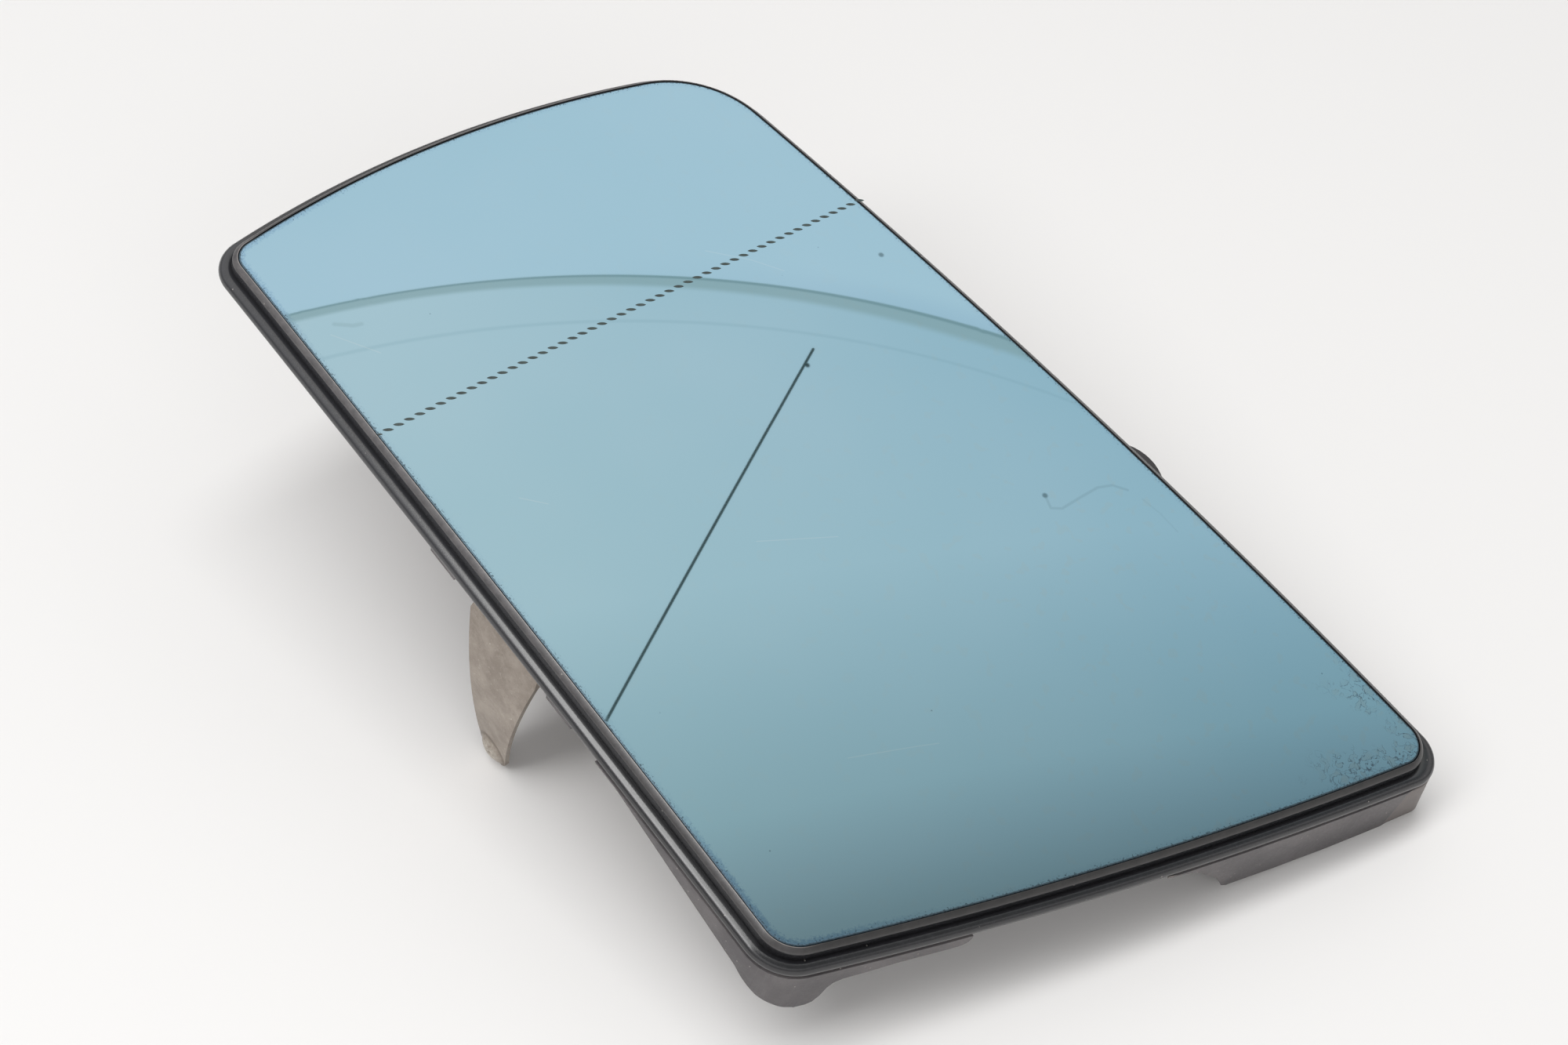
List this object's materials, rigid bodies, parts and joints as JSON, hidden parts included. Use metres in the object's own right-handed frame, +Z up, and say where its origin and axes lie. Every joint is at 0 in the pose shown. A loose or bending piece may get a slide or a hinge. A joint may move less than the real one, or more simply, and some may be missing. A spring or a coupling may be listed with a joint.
{
  "type": "car door mirror glass",
  "caption": "Convex heated car door mirror glass in a black rim, with moulded carrier and sprung steel bracket.",
  "frame": {"origin": "middle of the bounding box at the surface that it rests on", "axes": "+X along the pane from its inner to its outer end, +Y across it from the upper to the lower edge, +Z up from the surface; the pane leans 14.3 degrees about Y"},
  "size_m": [0.1936, 0.1302, 0.0676],
  "materials": {
    "mirror_pane": "blue-tinted, polished",
    "heater_film": "printed film",
    "bonding_foam": "foam",
    "rim_black": "satin",
    "carrier_black": "dusty, dull",
    "bracket_steel": "dull, stained",
    "rivet_steel": "plain",
    "socket_plastic": "natural",
    "terminal_brass": "dull"
  },
  "bodies": {
    "root": {"mirror_glass": "mirror_pane", "heater_foil": "heater_film", "foam_pad": "bonding_foam", "bezel_rim": "rim_black", "carrier": "carrier_black", "spring_bracket": "bracket_steel", "bracket_rivets": "rivet_steel", "rod_socket_lower": "socket_plastic", "rod_socket_upper": "socket_plastic", "terminal_lower": "terminal_brass", "terminal_upper": "terminal_brass", "terminal_rivets": "rivet_steel"}
  },
  "joints": []
}
